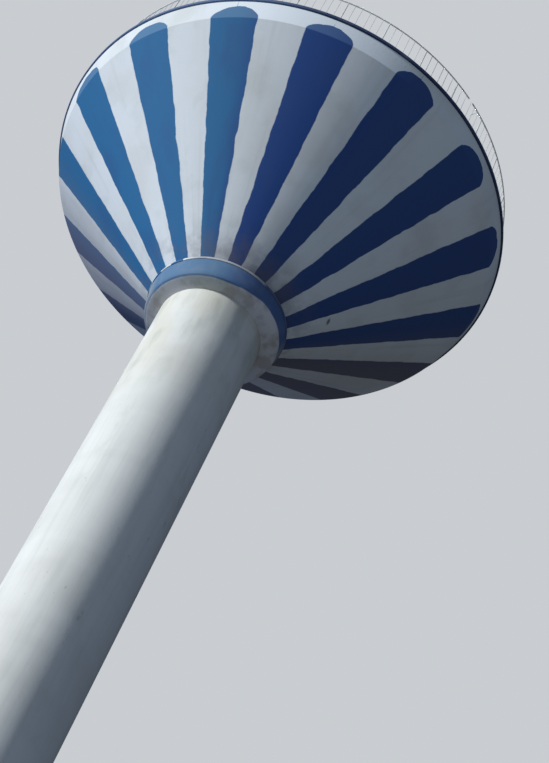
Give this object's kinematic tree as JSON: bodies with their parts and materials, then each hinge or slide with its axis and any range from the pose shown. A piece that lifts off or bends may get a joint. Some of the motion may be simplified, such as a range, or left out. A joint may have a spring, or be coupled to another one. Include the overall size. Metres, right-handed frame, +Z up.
{
  "type": "inverted cone water tower",
  "caption": "Slender round concrete shaft carrying an inverted-cone tank with painted stripes, a shallow roof and a guard rail.",
  "frame": {"origin": "centre of the shaft's foot, at ground level", "axes": "+Z up along the shaft's axis, -Y out of the door, +X to the right as seen by someone who faces the door"},
  "size_m": [11.15, 11.15, 29.4071],
  "materials": {
    "white_paint": "weathered white masonry paint on concrete",
    "striped_paint": "white masonry paint with fifteen tapering blue stripes, on concrete",
    "blue_paint": "blue masonry paint on concrete",
    "bare_concrete": "bare grey-brown concrete, stained",
    "rail_steel": "weathered paint on steel pipe",
    "door_steel": "grey-green paint on steel plate"
  },
  "bodies": {
    "root": {"door_frame": "door_steel", "door_leaf": "door_steel", "door_sill": "bare_concrete", "floor_slab": "bare_concrete", "guard_rail_1": "rail_steel", "guard_rail_2": "rail_steel", "guard_rail_3": "rail_steel", "guard_rail_4": "rail_steel", "guard_rail_5": "rail_steel", "guard_rail_6": "rail_steel", "guard_rail_7": "rail_steel", "guard_rail_8": "rail_steel", "head_hatch": "door_steel", "lightning_rod": "rail_steel", "roof_panel_1": "bare_concrete", "roof_panel_2": "bare_concrete", "roof_panel_3": "bare_concrete", "roof_panel_4": "bare_concrete", "roof_panel_5": "bare_concrete", "roof_panel_6": "bare_concrete", "roof_panel_7": "bare_concrete", "roof_panel_8": "bare_concrete", "shaft_cap": "bare_concrete", "shaft_jamb_left": "white_paint", "shaft_jamb_right": "white_paint", "shaft_wall_back": "white_paint", "shaft_wall_back_left": "white_paint", "shaft_wall_back_right": "white_paint", "shaft_wall_front": "white_paint", "shaft_wall_front_left": "white_paint", "shaft_wall_front_right": "white_paint", "support_ring_1": "blue_paint", "support_ring_2": "blue_paint", "support_ring_3": "blue_paint", "support_ring_4": "blue_paint", "support_ring_5": "blue_paint", "support_ring_6": "blue_paint", "tank_wall_1": "striped_paint", "tank_wall_2": "striped_paint", "tank_wall_3": "striped_paint", "tank_wall_4": "striped_paint", "tank_wall_5": "striped_paint", "tank_wall_6": "striped_paint", "tank_wall_7": "striped_paint", "tank_wall_8": "striped_paint"}
  },
  "joints": []
}
